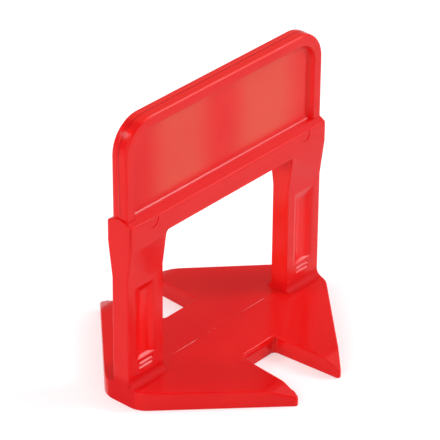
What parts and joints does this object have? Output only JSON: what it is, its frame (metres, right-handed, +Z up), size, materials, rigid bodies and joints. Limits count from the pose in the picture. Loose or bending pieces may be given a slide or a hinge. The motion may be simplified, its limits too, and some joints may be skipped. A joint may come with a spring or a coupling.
{
  "type": "tile levelling clip",
  "caption": "One-piece moulded clip for levelling tiles: a flat notched base, break-off legs that stand in the joint, a wedge window and a rimmed grip plate above it.",
  "frame": {"origin": "under the middle of the base, on the face that rests on the floor", "axes": "+X along the tile joint and the width of the frame, +Y across the joint, +Z up through the wedge window and the grip plate"},
  "size_m": [0.034, 0.031, 0.0364],
  "materials": {
    "body": "red injection-moulded plastic, slightly translucent, semi-gloss"
  },
  "bodies": {
    "root": {"clip": "body"}
  },
  "joints": []
}
